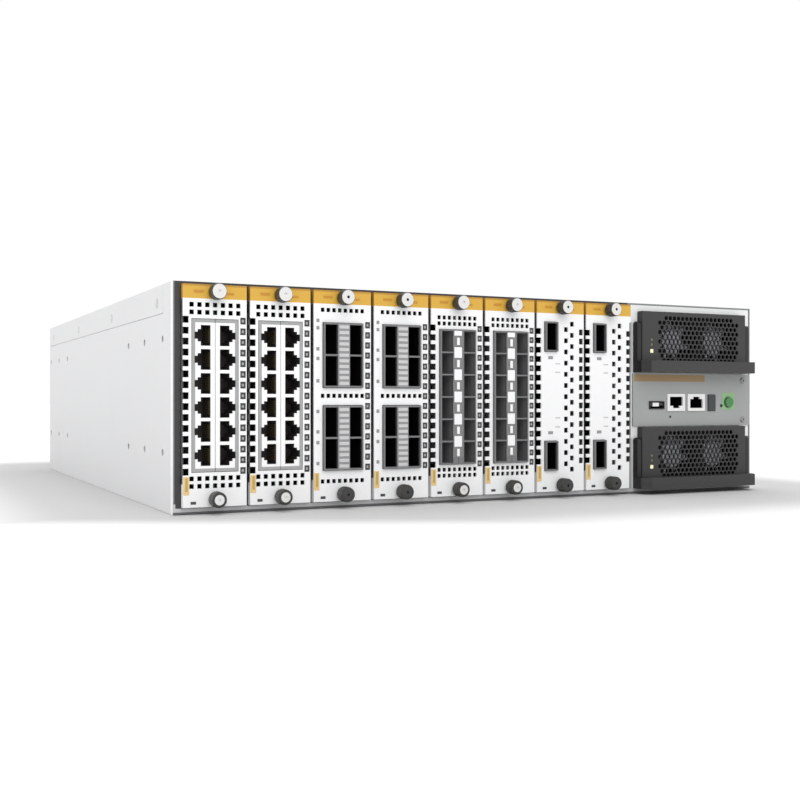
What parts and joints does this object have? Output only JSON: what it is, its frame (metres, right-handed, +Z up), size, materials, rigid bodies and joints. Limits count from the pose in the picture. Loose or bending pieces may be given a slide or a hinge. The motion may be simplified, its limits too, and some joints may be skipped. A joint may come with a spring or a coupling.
{
  "type": "modular chassis switch",
  "caption": "Low, wide rack chassis for a modular network switch, with upright line-card modules, stacked power supplies, a management panel and a rear fan tray.",
  "frame": {"origin": "centre of the underside", "axes": "+Z up; +Y from the front with the modules to the rear; +X to the right seen from the front"},
  "size_m": [0.44, 0.4441, 0.132],
  "materials": {
    "chassis_paint": "fine satin powder coat, light grey",
    "cage_paint": "satin powder coat, off-white",
    "face_paint": "satin powder coat, white",
    "board": "green solder mask",
    "jack_plastic": "moulded dark grey",
    "cage_metal": "plated sheet",
    "screw_metal": "nickel plate",
    "supply_metal": "galvanised sheet",
    "bezel_plastic": "fine textured dark grey",
    "handle_plastic": "satin black",
    "fan_plastic": "moulded black",
    "panel_paint": "textured mid grey",
    "socket_plastic": "moulded off-white",
    "button_plastic": "dark green"
  },
  "bodies": {
    "chassis": {"base_pan": "chassis_paint", "top_cover": "chassis_paint", "cover_screws": "screw_metal", "card_cage": "cage_paint", "midplane": "board", "rear_panel": "chassis_paint", "management_panel": "panel_paint", "management_board": "socket_plastic"},
    "bay1_module": {"bay1_faceplate": "face_paint", "bay1_jacks_left": "jack_plastic", "bay1_jacks_right": "jack_plastic", "bay1_card": "board", "bay1_thumbscrews": "screw_metal"},
    "bay2_module": {"bay2_faceplate": "face_paint", "bay2_jacks_left": "jack_plastic", "bay2_jacks_right": "jack_plastic", "bay2_card": "board", "bay2_thumbscrews": "screw_metal"},
    "bay3_module": {"bay3_faceplate": "face_paint", "bay3_cages_lower": "cage_metal", "bay3_cages_upper": "cage_metal", "bay3_card": "board", "bay3_thumbscrews": "screw_metal"},
    "bay4_module": {"bay4_faceplate": "face_paint", "bay4_cages_lower": "cage_metal", "bay4_cages_upper": "cage_metal", "bay4_card": "board", "bay4_thumbscrews": "screw_metal"},
    "bay5_module": {"bay5_faceplate": "face_paint", "bay5_cages_left": "cage_metal", "bay5_cages_right": "cage_metal", "bay5_card": "board", "bay5_thumbscrews": "screw_metal"},
    "bay6_module": {"bay6_faceplate": "face_paint", "bay6_cages_left": "cage_metal", "bay6_cages_right": "cage_metal", "bay6_card": "board", "bay6_thumbscrews": "screw_metal"},
    "bay7_module": {"bay7_faceplate": "face_paint", "bay7_cages": "cage_metal", "bay7_card": "board", "bay7_thumbscrews": "screw_metal"},
    "bay8_module": {"bay8_faceplate": "face_paint", "bay8_cages": "cage_metal", "bay8_card": "board", "bay8_thumbscrews": "screw_metal"},
    "lower_supply": {"lower_supply_case": "supply_metal", "lower_supply_bezel": "bezel_plastic"},
    "lower_handle": {"lower_supply_handle": "handle_plastic"},
    "lower_fan_left": {"lower_supply_fan_left": "fan_plastic"},
    "lower_fan_right": {"lower_supply_fan_right": "fan_plastic"},
    "upper_supply": {"upper_supply_case": "supply_metal", "upper_supply_bezel": "bezel_plastic"},
    "upper_handle": {"upper_supply_handle": "handle_plastic"},
    "upper_fan_left": {"upper_supply_fan_left": "fan_plastic"},
    "upper_fan_right": {"upper_supply_fan_right": "fan_plastic"},
    "tray": {"fan_tray": "supply_metal"},
    "tray_fan_left": {"tray_fan_left": "fan_plastic"},
    "tray_fan_right": {"tray_fan_right": "fan_plastic"},
    "button": {"eco_button": "button_plastic"}
  },
  "joints": [
    {"name": "bay1_slide", "type": "slide", "parent": "chassis", "child": "bay1_module", "axis": [0, -1, 0], "range_m": [0, 0.25]},
    {"name": "bay2_slide", "type": "slide", "parent": "chassis", "child": "bay2_module", "axis": [0, -1, 0], "range_m": [0, 0.25]},
    {"name": "bay3_slide", "type": "slide", "parent": "chassis", "child": "bay3_module", "axis": [0, -1, 0], "range_m": [0, 0.25]},
    {"name": "bay4_slide", "type": "slide", "parent": "chassis", "child": "bay4_module", "axis": [0, -1, 0], "range_m": [0, 0.25]},
    {"name": "bay5_slide", "type": "slide", "parent": "chassis", "child": "bay5_module", "axis": [0, -1, 0], "range_m": [0, 0.25]},
    {"name": "bay6_slide", "type": "slide", "parent": "chassis", "child": "bay6_module", "axis": [0, -1, 0], "range_m": [0, 0.25]},
    {"name": "bay7_slide", "type": "slide", "parent": "chassis", "child": "bay7_module", "axis": [0, -1, 0], "range_m": [0, 0.25]},
    {"name": "bay8_slide", "type": "slide", "parent": "chassis", "child": "bay8_module", "axis": [0, -1, 0], "range_m": [0, 0.25]},
    {"name": "lower_supply_slide", "type": "slide", "parent": "chassis", "child": "lower_supply", "axis": [0, -1, 0], "range_m": [0, 0.25]},
    {"name": "lower_handle_hinge", "type": "hinge", "parent": "lower_supply", "child": "lower_handle", "pos_m": [0.162, -0.2074, 0.0366], "axis": [-1, 0, 0], "range_deg": [0, 90]},
    {"name": "lower_fan_left_spin", "type": "hinge", "parent": "lower_supply", "child": "lower_fan_left", "pos_m": [0.1515, -0.1916, 0.0252], "axis": [0, 1, 0], "continuous": true},
    {"name": "lower_fan_right_spin", "type": "hinge", "parent": "lower_supply", "child": "lower_fan_right", "pos_m": [0.1905, -0.1916, 0.0252], "axis": [0, 1, 0], "continuous": true},
    {"name": "upper_supply_slide", "type": "slide", "parent": "chassis", "child": "upper_supply", "axis": [0, -1, 0], "range_m": [0, 0.25]},
    {"name": "upper_handle_hinge", "type": "hinge", "parent": "upper_supply", "child": "upper_handle", "pos_m": [0.162, -0.2074, 0.117], "axis": [-1, 0, 0], "range_deg": [0, 90]},
    {"name": "upper_fan_left_spin", "type": "hinge", "parent": "upper_supply", "child": "upper_fan_left", "pos_m": [0.1515, -0.1916, 0.1056], "axis": [0, 1, 0], "continuous": true},
    {"name": "upper_fan_right_spin", "type": "hinge", "parent": "upper_supply", "child": "upper_fan_right", "pos_m": [0.1905, -0.1916, 0.1056], "axis": [0, 1, 0], "continuous": true},
    {"name": "tray_slide", "type": "slide", "parent": "chassis", "child": "tray", "axis": [0, 1, 0], "range_m": [0, 0.07]},
    {"name": "tray_fan_left_spin", "type": "hinge", "parent": "tray", "child": "tray_fan_left", "pos_m": [-0.122, 0.1875, 0.066], "axis": [0, 1, 0], "continuous": true},
    {"name": "tray_fan_right_spin", "type": "hinge", "parent": "tray", "child": "tray_fan_right", "pos_m": [0.01, 0.1875, 0.066], "axis": [0, 1, 0], "continuous": true},
    {"name": "button_press", "type": "slide", "parent": "chassis", "child": "button", "axis": [0, 1, 0], "range_m": [0, 0.0012], "stiffness_N_per_m": 800, "springref_m": -0.001}
  ]
}
